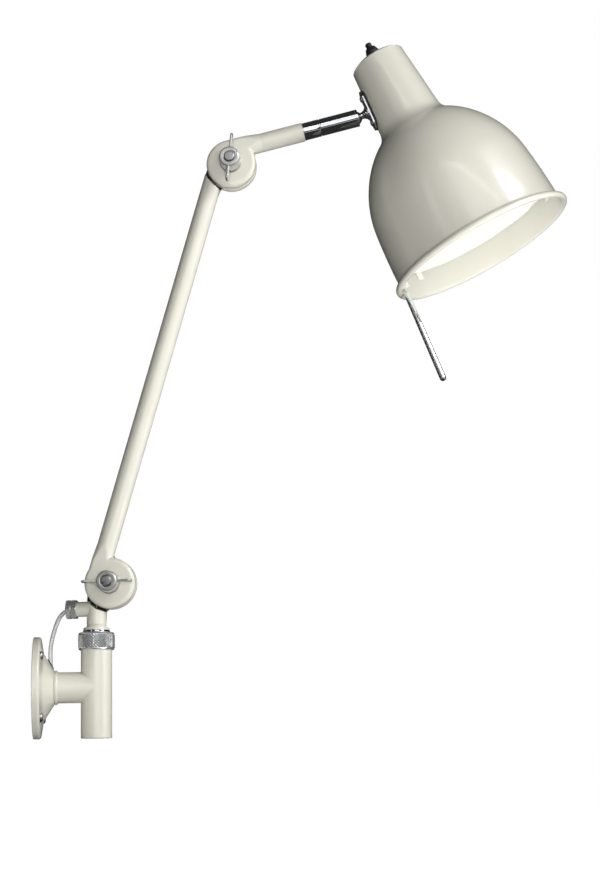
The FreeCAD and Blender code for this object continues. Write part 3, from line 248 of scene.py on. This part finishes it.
# Wall screws: four domed steel screws with a cross recess, zinc plated, that stand a little
# proud of the plate on an 82 mm circle.
zinc = finish("zinc_plate", (0.62, 0.62, 0.61), (0.42, 0.42, 0.42), (0.24, 0.42), 900.0, 0.25,
              metal=1.0, patch=120.0)
dress(taken_from("wall_screws", "domed_screws"), "bracket", "zinc", zinc, "wall_screws")


# Cover, grommet and terminal block of the plate: a fibre disc closes the hollow back, a rubber
# sleeve lines the lead's hole, and a moulded block waits behind it for the lead's end.
fibre = finish("pressed_fibre", (0.30, 0.28, 0.25), (0.22, 0.205, 0.18), (0.75, 0.9), 700.0, 0.6,
               patch=90.0)
rubber = finish("black_rubber", (0.035, 0.035, 0.036), (0.02, 0.02, 0.021), (0.55, 0.75), 800.0, 0.35,
                patch=70.0)
moulding = finish("black_moulding", (0.022, 0.022, 0.024), (0.012, 0.012, 0.013), (0.26, 0.40), 600.0,
                  0.12, patch=60.0)
dress(taken_from("back_cover", "fibre_cover"), "bracket", "cover_fibre", fibre, "back_cover")
dress(taken_from("lead_grommet", "rubber_grommet"), "bracket", "black_rubber", rubber, "lead_grommet")
dress(taken_from("terminal_block", "terminals"), "bracket", "black_plastic", moulding, "terminal_block")


# Bracket: a level tube mitred and welded into an open upright tube and, with a rounded bead,
# onto the plate's nose. The weld is ground off, so the lacquer shows a clean crease.
dress(taken_from("bracket_tee", "welded_tee"), "bracket", "cream_lacquer", lacquer, "bracket_tee")
dress(taken_from("neck_ring", "neck_bead"), "bracket", "cream_lacquer", lacquer, "neck_ring")


# Bushes and collet: two brass sleeves guide the post in the upright tube, and a split brass
# cone above them grips it when the lock ring is screwed down.
brass = finish("turned_brass", (0.72, 0.55, 0.26), (0.58, 0.42, 0.18), (0.22, 0.36), 700.0, 0.15,
               metal=1.0, patch=80.0)
for node in ("upper_bush", "lower_bush", "clamp_collet"):
    dress(taken_from(node, node.replace("clamp", "split")), "bracket", "brass", brass, node)


# Lock ring: a turned steel ring with a diamond knurl between two plain edges, zinc plated and
# screwed on the upright tube's thread. The teeth's downward flanks that face one way are dark
# grey, as painted shade.
def turned(name, outline, sides=96, hollow=True):
    """Draw a ring up along an outline of (radius, height) millimetres, sizing it at each step."""
    bpy.ops.object.select_all(action="DESELECT")
    first = outline[0]
    bpy.ops.mesh.primitive_circle_add(vertices=sides, radius=first[0] / 1000, location=(0.0, 0.0, 0.0),
                                      fill_type="NOTHING" if hollow else "NGON")
    piece = bpy.context.object
    piece.name = name
    bpy.ops.object.mode_set(mode="EDIT")
    bpy.ops.mesh.select_mode(type="VERT")
    bpy.ops.mesh.select_all(action="SELECT")
    bpy.ops.transform.translate(value=(0.0, 0.0, first[1] / 1000))
    before = first
    for radius, height in outline[1:] + (outline[:1] if hollow else []):
        step = (height - before[1]) / 1000
        bpy.ops.mesh.extrude_region_move(TRANSFORM_OT_translate={"value": (0.0, 0.0, step)})
        size = radius / before[0]
        bpy.ops.transform.resize(value=(size, size, 1.0), center_override=(0.0, 0.0, height / 1000))
        before = (radius, height)
    bpy.ops.mesh.select_all(action="SELECT")
    bpy.ops.mesh.remove_doubles(threshold=0.000002)
    bpy.ops.mesh.normals_make_consistent(inside=False)
    bpy.ops.object.mode_set(mode="OBJECT")
    bpy.ops.object.shade_smooth_by_angle(angle=math.radians(32))
    return piece


def soften(piece, width, steps=3, angle=30.0):
    """Round the sharp edges of a piece."""
    edge = piece.modifiers.new("edge", "BEVEL")
    edge.width = width / 1000
    edge.segments = steps
    edge.limit_method = "ANGLE"
    edge.angle_limit = math.radians(angle)
    bpy.ops.object.modifier_apply(modifier=edge.name)
    bpy.ops.object.shade_smooth_by_angle(angle=math.radians(32))
    return piece


def set_at(piece, place):
    """Carry a piece made on the upright axis to its place in the lamp."""
    bpy.ops.object.select_all(action="DESELECT")
    piece.select_set(True)
    bpy.context.view_layer.objects.active = piece
    piece.matrix_world = place
    bpy.ops.object.transform_apply(location=True, rotation=True, scale=True)
    return piece


tee_axis = Matrix.Translation((0.060, 0.0, 0.0))
ring_rows, ring_sides = 5, 38
ring_low, ring_high = 37.4, 51.2
row_height = (ring_high - ring_low) / ring_rows
band_radius, tooth_height = 17.15, 0.80
ring_outline = [(14.95, 36.2), (16.6, 36.2), (17.3, 36.9)]
ring_outline += [(band_radius, ring_low + row_height * row) for row in range(ring_rows + 1)]
ring_outline += [(17.5, 51.7), (16.7, 52.8), (10.5, 52.8), (10.5, 51.2), (14.95, 47.2)]
ring = turned("knurled_ring", ring_outline, sides=ring_sides)


def choose(piece, kind, test):
    """In edit mode, choose the faces or edges whose middle passes a test."""
    bpy.ops.mesh.select_mode(type="FACE" if kind == "faces" else "EDGE")
    bpy.ops.mesh.select_all(action="DESELECT")
    bpy.ops.object.mode_set(mode="OBJECT")
    mesh = piece.data
    if kind == "faces":
        for face in mesh.polygons:
            face.select = test(face)
    else:
        for edge in mesh.edges:
            edge.select = test(*(mesh.vertices[corner].co for corner in edge.vertices))
    bpy.ops.object.mode_set(mode="EDIT")


def in_band(point):
    """True for a point on the knurled band."""
    out = point.xy.length * 1000 > band_radius - 0.15
    return out and ring_low - 0.01 < point.z * 1000 < ring_high + 0.01


def on_row(point):
    """True for a point on one of the band's inner rows."""
    row = (point.z * 1000 - ring_low) / row_height
    return 0.4 < row < ring_rows - 0.4 and abs(row - round(row)) < 0.05


def on_grid(a, b):
    """True for an edge of the band's first grid of squares, which the diamonds lie across."""
    rise = abs(a.z - b.z) * 1000
    return in_band(a) and in_band(b) and (rise < 0.01 and on_row(a) or abs(rise - row_height) < 0.05)


bpy.ops.object.mode_set(mode="EDIT")
choose(ring, "faces", lambda face: in_band(face.center))
bpy.ops.mesh.poke()
choose(ring, "edges", on_grid)
bpy.ops.mesh.dissolve_edges(use_verts=False)
choose(ring, "faces", lambda face: in_band(face.center) and len(face.vertices) == 4)
bpy.ops.mesh.poke(offset=tooth_height / 1000)
bpy.ops.object.mode_set(mode="OBJECT")
bpy.ops.object.shade_smooth_by_angle(angle=math.radians(14))
set_at(ring, tee_axis)
ring_zinc = finish("ring_zinc", (0.86, 0.88, 0.88), (0.80, 0.82, 0.82), (0.24, 0.32), 700.0, 0.08,
                   metal=0.85, patch=60.0)
dress(ring, "lock_ring", "zinc", ring_zinc, "lock_ring")
# Painted shade: the knurl's flanks that face down and to one side get a dark grey surface.
knurl_painted_shade = finish("knurl_painted_shade", (0.30, 0.31, 0.31), (0.20, 0.21, 0.21), (0.30, 0.45), 700.0, 0.1,
                    metal=0.8)
ring.data.materials.append(knurl_painted_shade)
for face in ring.data.polygons:
    away = face.center - tee_axis.translation
    sideways = (face.normal.y * away.x - face.normal.x * away.y) / away.xy.length
    shaded_flank = in_band(away) and face.normal.z < -0.1 and sideways < -0.1
    face.material_index = 1 if shaded_flank else 0


# Post: a turned steel pin that swings in the bushes. Above the lock ring it shows a bright
# washer, a lacquered shoulder and a short stub, and a spring clip holds it from below.
swing_angle = -10.4
swing = tee_axis @ Matrix.Rotation(math.radians(swing_angle), 4, "Z")
post = turned("turned_post", [(7.0, -48.4), (8.85, -48.4), (9.25, -48.0), (9.25, -47.65), (8.45, -47.65),
                              (8.45, -46.4), (9.25, -46.4), (9.25, 57.9), (9.5, 58.0), (9.5, 60.0),
                              (7.0, 60.0)])
dress(set_at(soften(post, 0.1, 2), swing), "post", "cream_lacquer", lacquer, "swivel_post")
chrome = finish("bright_chrome", (0.80, 0.81, 0.83), (0.74, 0.75, 0.77), (0.03, 0.09), 60.0, 0.02,
                metal=1.0, patch=45.0)
washer = turned("shoulder_washer", [(9.3, 53.0), (12.6, 53.0), (13.0, 53.4), (13.0, 54.9),
                                    (12.6, 55.3), (9.3, 55.3)])
dress(set_at(soften(washer, 0.15, 2), swing), "post", "chrome", chrome, "post_washer")
shoulder = turned("shoulder_ring", [(9.3, 55.3), (12.2, 55.3), (12.6, 55.7), (12.6, 57.0),
                                    (12.35, 57.6), (11.7, 57.9), (9.3, 57.9)])
dress(set_at(soften(shoulder, 0.15, 2), swing), "post", "cream_lacquer", lacquer, "post_washer")
steel = finish("bare_steel", (0.56, 0.56, 0.57), (0.42, 0.42, 0.43), (0.25, 0.42), 650.0, 0.2,
               metal=1.0, patch=90.0)
dress(taken_from("post_clip", "retaining_clip"), "post", "steel", steel, "post_clip")


# Hinge halves: four iron castings, each a thick disc with a neck that runs out beside it into
# its tube. The neck melts into the disc's edge and the lacquer rounds every corner. The faces of
# the slot that the other half's disc turns in are painted near black, as painted shade.
def cast(piece, grain, rounds):
    """Melt a merged solid's sharp inner corners, as casting, welding and paint do."""
    skin = piece.modifiers.new("skin", "REMESH")
    skin.mode = "VOXEL"
    skin.voxel_size = grain
    skin.use_smooth_shade = True
    bpy.ops.object.modifier_apply(modifier=skin.name)
    melt = piece.modifiers.new("melt", "SMOOTH")
    melt.factor = 0.5
    melt.iterations = rounds
    bpy.ops.object.modifier_apply(modifier=melt.name)
    return piece


hinge_line = Vector((0.180519, 0.983571, 0.0))
lower_pivot = Vector((0.074016, -0.002572, 0.100580))
upper_pivot = Vector((0.195971, -0.024955, 0.522957))
wall_from, wall_to = 0.0262, 0.0285
bottom_from, bottom_to, bottom_depth = 0.0249, 0.0282, 0.0045
# Painted shade: a near-black surface for the slot between the discs, where shadow falls.
slot_painted_shade = finish("slot_painted_shade", (0.030, 0.029, 0.026), (0.014, 0.014, 0.013), (0.55, 0.75), 500.0,
                      0.3, patch=80.0)


def in_shaded_slot(face, pivot):
    """True for a face on the wall or the bottom of the slot, which is painted near black as painted shade.
    """
    arm = face.center - pivot
    depth = arm.dot(hinge_line)
    radial = arm - hinge_line * depth
    faces_in = face.normal.dot(radial.normalized()) < -0.4
    faces_along = abs(face.normal.dot(hinge_line)) > 0.6 and abs(depth) < bottom_depth
    return (faces_in and wall_from < radial.length < wall_to
            or faces_along and bottom_from < radial.length < bottom_to)


for node, name, body, pivot in (("post_knuckle", "post_casting", "post", lower_pivot),
                                ("arm_lower_knuckle", "arm_foot_casting", "main_arm", lower_pivot),
                                ("arm_upper_knuckle", "arm_head_casting", "main_arm", upper_pivot),
                                ("forearm_knuckle", "forearm_casting", "forearm", upper_pivot)):
    casting = cast(taken_from(node, name), 0.0006, 14)
    dress(casting, body, "cream_lacquer", lacquer, node)
    # The slot's faces get the painted shade, the rest keeps the lacquer.
    casting.data.materials.append(slot_painted_shade)
    for face in casting.data.polygons:
        face.material_index = 1 if in_shaded_slot(face, pivot) else 0


# Cable gland: a short lacquered spigot screwed into the post's casting, a rubber seal, and a
# plated six sided nut with a groove round it, whose mouth flares so that the lead can bend.
dress(taken_from("cable_spigot", "side_spigot"), "post", "cream_lacquer", lacquer, "cable_spigot")
dress(taken_from("gland_seal", "rubber_seal"), "post", "black_rubber", rubber, "gland_seal")
dress(taken_from("gland_nut", "flared_gland_nut", 24.0), "post", "chrome", ring_zinc, "gland_nut")


# Short lead: two cores in a clear sheath, 4.2 mm thick, that leaves the gland, turns down and
# goes through the grommet into the plate.
lead_points = [(0.041804, 0.003340, 0.0762), (0.033542, 0.004856, 0.0762), (0.0263, 0.0059, 0.0720),
               (0.0222, 0.0060, 0.0648), (0.0182, 0.0060, 0.0524), (0.0153, 0.0060, 0.0389),
               (0.0159, 0.0060, 0.0230), (0.0159, 0.0060, 0.0087), (0.0106, 0.0060, 0.0009)]
lead_curve = bpy.data.curves.new("lead_line", "CURVE")
lead_curve.dimensions = "3D"
lead_curve.bevel_depth = 0.0021
lead_curve.bevel_resolution = 6
lead_curve.use_fill_caps = True
lead_curve.resolution_u = 24
lead_line = lead_curve.splines.new("NURBS")
lead_line.points.add(len(lead_points) - 1)
for point, place in zip(lead_line.points, lead_points):
    point.co = (*place, 1.0)
lead_line.order_u = 3
lead_line.use_endpoint_u = True
lead_object = bpy.data.objects.new("lead_line", lead_curve)
bpy.context.collection.objects.link(lead_object)
bpy.context.view_layer.update()
lead = bpy.data.objects.new("clear_lead", bpy.data.meshes.new_from_object(lead_object))
bpy.context.collection.objects.link(lead)
bpy.data.objects.remove(lead_object)
bpy.ops.object.select_all(action="DESELECT")
lead.select_set(True)
bpy.context.view_layer.objects.active = lead
bpy.ops.object.shade_smooth_by_angle(angle=math.radians(40))
sheath = finish("clear_sheath", (0.80, 0.80, 0.78), (0.50, 0.50, 0.50), (0.10, 0.22), 240.0, 0.05,
                metal=0.35, coat=0.8, patch=130.0, stretch=(1.0, 2.5, 0.35))
lead.data.materials.clear()
lead.data.materials.append(sheath)
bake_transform(lead)
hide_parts("supply_lead")


# Hinge bolts and washers: domed ten millimetre bolts with a square neck, pushed in from the
# back, with friction sheet between the discs and a plain washer under each wing nut.
friction = finish("friction_sheet", (0.20, 0.17, 0.13), (0.12, 0.10, 0.08), (0.6, 0.8), 900.0, 0.4,
                  patch=80.0)
for place_name, body in (("lower", "post"), ("upper", "main_arm")):
    dress(taken_from(place_name + "_hinge_bolt", place_name + "_domed_bolt"), body, "zinc", zinc,
          place_name + "_hinge_bolt")
    dress(taken_from(place_name + "_bolt_washer", place_name + "_flat_washer"), body, "zinc", zinc,
          place_name + "_bolt_washer")
    dress(taken_from(place_name + "_friction_washer", place_name + "_friction_rings"), body,
          "friction_sheet", friction, place_name + "_friction_washer")


# Wing nuts: hot forged zinc plated nuts with two thick ears whose ends curl over, so that
# fingers can turn them. Forging leaves every edge round.
nut_metal = finish("forged_zinc", (0.74, 0.75, 0.73), (0.60, 0.61, 0.59), (0.24, 0.40), 420.0, 0.45,
                   metal=0.9, patch=70.0)
for node in ("lower_wing_nut", "upper_wing_nut"):
    dress(cast(taken_from(node, node.replace("wing", "eared")), 0.00036, 8), node, "zinc", nut_metal, node)


# Arm tubes: drawn steel tubes with a 1.5 mm wall, brazed over the castings' plugs. The joints are
# filed flush before the lacquer, so that tube and casting run into each other.
arm_offset, forearm_offset = 0.01425, 0.0157
upper_reach = 0.138249
arm_lean, forearm_lean = 16.36, 77.27
lower_frame = swing @ Matrix.Translation((arm_offset, 0.0, lower_pivot.z))
upper_frame = swing @ Matrix.Translation((upper_reach, 0.0, upper_pivot.z))
arm_axis = (lower_frame @ Matrix.Rotation(math.radians(arm_lean), 4, "Y")
            @ Matrix.Translation((-arm_offset, 0.0, 0.0)))
forearm_axis = (upper_frame @ Matrix.Rotation(math.radians(forearm_lean), 4, "Y")
                @ Matrix.Translation((-forearm_offset, 0.0, 0.0)))
arm_tube = turned("long_tube", [(8.0, 31.0), (9.35, 31.0), (9.5, 34.5), (9.5, 405.7), (9.35, 409.2),
                                (8.0, 409.2)])
dress(set_at(arm_tube, arm_axis), "main_arm", "cream_lacquer", lacquer, "arm_tube")
short_tube = turned("short_tube", [(7.8, 31.0), (9.15, 31.0), (9.3, 34.5), (9.3, 78.1), (9.0, 78.45),
                                   (7.8, 78.45)])
dress(set_at(short_tube, forearm_axis), "forearm", "cream_lacquer", lacquer, "forearm_tube")


# Swivel collar: a chromed steel sleeve on the forearm's end with a small socket screw below,
# which clamps the brass spindle that the barrel turns on.
collar = turned("chrome_collar", [(4.6, 66.5), (7.75, 66.5), (7.75, 78.6), (8.4, 78.6), (8.6, 78.9),
                                  (8.6, 95.8), (8.4, 96.2), (4.6, 96.2)])
dress(set_at(soften(collar, 0.12, 2), forearm_axis), "forearm", "chrome", chrome, "swivel_collar")
dress(taken_from("collar_set_screw", "socket_screw"), "forearm", "steel", steel, "collar_set_screw")
dress(taken_from("swivel_spindle", "brass_spindle"), "forearm", "brass", brass, "swivel_spindle")


# Barrel: a chromed tube that turns about the forearm. It holds coned spring washers and a brass
# cup behind the ball, and a screwed end ring in front of it.
barrel = turned("chrome_barrel", [(4.6, 96.6), (8.1, 96.6), (8.5, 97.0), (8.5, 133.45), (8.35, 133.58),
                                  (7.9, 133.58), (7.9, 134.6), (7.5, 134.6), (7.5, 115.6), (6.0, 115.6),
                                  (6.0, 103.7), (4.6, 103.7)])
dress(set_at(soften(barrel, 0.1, 2), forearm_axis), "barrel", "chrome", chrome, "swivel_barrel")
dress(taken_from("barrel_end_ring", "end_ring", 24.0), "barrel", "chrome", chrome, "barrel_end_ring")
dress(taken_from("ball_cup", "brass_cup"), "barrel", "brass", brass, "ball_cup")
dress(taken_from("cup_springs", "coned_washers"), "barrel", "steel", steel, "cup_springs")


# Ball stem: a chromed ball on a waist that flares like a trumpet against its oval plate. Plate,
# black gasket, neck wall and an inner strip are clamped by two screws and the stem's own nut.
dress(taken_from("ball_stem", "trumpet_stem", 40.0), "shade", "chrome", chrome, "ball_stem")
dress(soften(taken_from("stem_plate", "oval_plate"), 0.35, 3), "shade", "chrome", chrome, "stem_plate")
dress(taken_from("stem_gasket", "saddle_gasket"), "shade", "black_rubber", rubber, "stem_gasket")
dress(taken_from("stem_screws", "round_head_screws"), "shade", "zinc", zinc, "stem_screws")
dress(taken_from("stem_nut", "brass_nut"), "shade", "brass", brass, "stem_nut")
dress(taken_from("backing_strip", "inner_strip"), "shade", "steel", steel, "backing_strip")


# Shade: aluminium spun over a form in one piece, a bell that runs through a hollow curve into a
# tapered neck, with its rim rolled over a wire. Grey lacquer outside, white paint inside.
shade_place = Matrix((Vector((0.879378, -0.16938, 0.444977)), Vector((0.173234, 0.98435, 0.03234)),
                      Vector((-0.443491, 0.048646, 0.894958)))).transposed().to_4x4()
shade_place.translation = (0.442571, -0.064654, 0.426436)
shade_bends = ((656.0, 5.0, 8), (109.0, 36.3, 22), (90.0, 12.5, 8), (-20.0, -51.0, 16))
foot_radius, foot_height, foot_lean = 89.4, 9.4, 1.7
rim_middle, rim_round, flare_round = 92.4, 3.2, 3.0
neck_top, neck_lean = 223.0, 4.5
sheet = 1.0


def facing(lean):
    """Outward direction, as (radius, height), of a wall that leans in by an angle."""
    return Vector((math.cos(math.radians(lean)), math.sin(math.radians(lean))))


def wall_line(inset):
    """Points up the shade's wall, parallel to its outside by an inset."""
    lean = foot_lean
    spot = Vector((foot_radius, foot_height))
    line = []
    for radius, sweep, steps in shade_bends:
        centre = spot - facing(lean) * radius
        for step in range(steps):
            line.append(tuple(centre + facing(lean + sweep * step / steps) * (radius - inset)))
        lean += sweep
        spot = centre + facing(lean) * radius
    start = spot - facing(lean) * inset
    slope = math.tan(math.radians(neck_lean))
    line += [(start.x - slope * rise, start.y + rise) for rise in (0.0, 8.0, 20.0, 34.0, 48.0)]
    line.append((start.x - slope * (neck_top - start.y), neck_top))
    return line


def round_points(height, radius, angles):
    """Points of the rim's outline on a circle over the rim's middle, at a height."""
    middle = Vector((rim_middle, height))
    return [tuple(middle + facing(angle) * radius) for angle in angles]


flare = round_points(foot_height, flare_round, [270.0 - 15.0 * step for step in range(1, 6)])
rolled = round_points(rim_round, rim_round, [180.0 + 270.0 * step / 16 for step in range(17)])
shade_outline = wall_line(sheet)[::-1] + rolled + flare + wall_line(0.0)
bell = turned("spun_bell", shade_outline, sides=144)
for face in bell.data.polygons:
    outward = face.center.xy.normalized().dot(face.normal.xy)
    face.material_index = 1 if outward < 0.0 and face.center.z * 1000 < neck_top - 0.5 else 0
set_at(bell, shade_place)
shade_lacquer = finish("shade_lacquer", (0.665, 0.650, 0.570), (0.635, 0.620, 0.540), (0.27, 0.34),
                       430.0, 0.07, coat=0.8, patch=14.0)
inner_white = finish("inner_white", (0.90, 0.88, 0.82), (0.87, 0.85, 0.79), (0.35, 0.45), 500.0, 0.08,
                     patch=20.0)
bell.data.materials.clear()
bell.data.materials.append(shade_lacquer)
bell.data.materials.append(inner_white)
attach(bell, "shade")
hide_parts("shade_shell")


# Cap: a shallow dome pressed from the same sheet, with a skirt inside the neck and a flat on
# top that carries the switch.
dress(soften(taken_from("shade_cap", "domed_cap"), 0.5, 3, 40.0), "shade", "shade_lacquer",
      shade_lacquer, "shade_cap")


# Diffuser: a moulded opal disc with a turned-up lip and a ring of cooling slots, held against
# the wall by three bent spring clips.
opal = finish("opal_acrylic", (0.90, 0.895, 0.86), (0.88, 0.87, 0.835), (0.28, 0.36), 300.0, 0.05,
              patch=12.0)
opal_shader = opal.node_tree.nodes["Principled BSDF"]
opal_shader.inputs["Subsurface Weight"].default_value = 0.25
opal_shader.inputs["Subsurface Scale"].default_value = 0.004
dress(taken_from("diffuser", "opal_disc"), "shade", "opal", opal, "diffuser")
dress(taken_from("diffuser_clips", "spring_clips"), "shade", "cream_lacquer", inner_white, "diffuser_clips")


# Lamp in its holder: a pressed steel dish in the neck carries a moulded holder, and a globe
# lamp hangs in it above the diffuser.
frosted = finish("frosted_glass", (0.92, 0.92, 0.90), (0.88, 0.88, 0.86), (0.35, 0.45), 400.0, 0.05,
                 patch=30.0)
dress(taken_from("holder_plate", "pressed_dish"), "shade", "steel", steel, "holder_plate")
dress(taken_from("lampholder", "moulded_holder"), "shade", "black_plastic", moulding, "lampholder")
dress(taken_from("lamp_bulb", "globe_lamp"), "shade", "lamp_glass", frosted, "lamp_bulb")


# Handle: a chromed rod that grows thicker to a round end. Its thin root stands in a small block
# on the inside of the rim, where a screw clamps it.
handle_circle, handle_turn, handle_lean = 0.08685, 172.0, 5.2
handle_place = (shade_place @ Matrix.Rotation(math.radians(handle_turn), 4, "Z")
                @ Matrix.Translation((handle_circle, 0.0, 0.0))
                @ Matrix.Rotation(math.radians(180.0 - handle_lean), 4, "Y"))
end_radius, end_height, end_start = 3.3, 3.2, 93.8
grip_line = [(1.9, -15.0), (2.0, -14.8), (2.0, 0.0), (2.5, 0.05), (2.7, 0.4), (2.93, 40.0), (3.14, 75.0),
             (3.26, 93.2)]
for angle in (8, 22, 36, 50, 62, 74, 84):
    bend = facing(angle)
    grip_line.append((end_radius * bend.x, end_start + end_height * bend.y))
grip = turned("chrome_handle", grip_line, sides=40, hollow=False)
dress(set_at(grip, handle_place), "shade", "chrome", chrome, "handle_rod")
dress(soften(taken_from("handle_bracket", "handle_block"), 0.5, 3), "shade", "cream_lacquer", inner_white,
      "handle_bracket")
dress(taken_from("handle_screw", "block_screw"), "shade", "zinc", zinc, "handle_screw")


# Push switch: a moulded body under the cap, clamped from above by a bright ring and a black
# collar, with a spring under its black button.
dress(taken_from("switch_body", "moulded_switch"), "shade", "black_plastic", moulding, "switch_body")
dress(taken_from("switch_ring", "bright_ring"), "shade", "chrome", chrome, "switch_ring")
dress(taken_from("switch_collar", "black_collar"), "shade", "black_plastic", moulding, "switch_collar")
button_spring = taken_from("switch_spring", "button_spring")
dress(button_spring, "shade", "steel", steel, "switch_spring")
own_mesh(button_spring)
dress(taken_from("switch_button", "round_button"), "switch_button", "black_plastic", moulding,
      "switch_button")
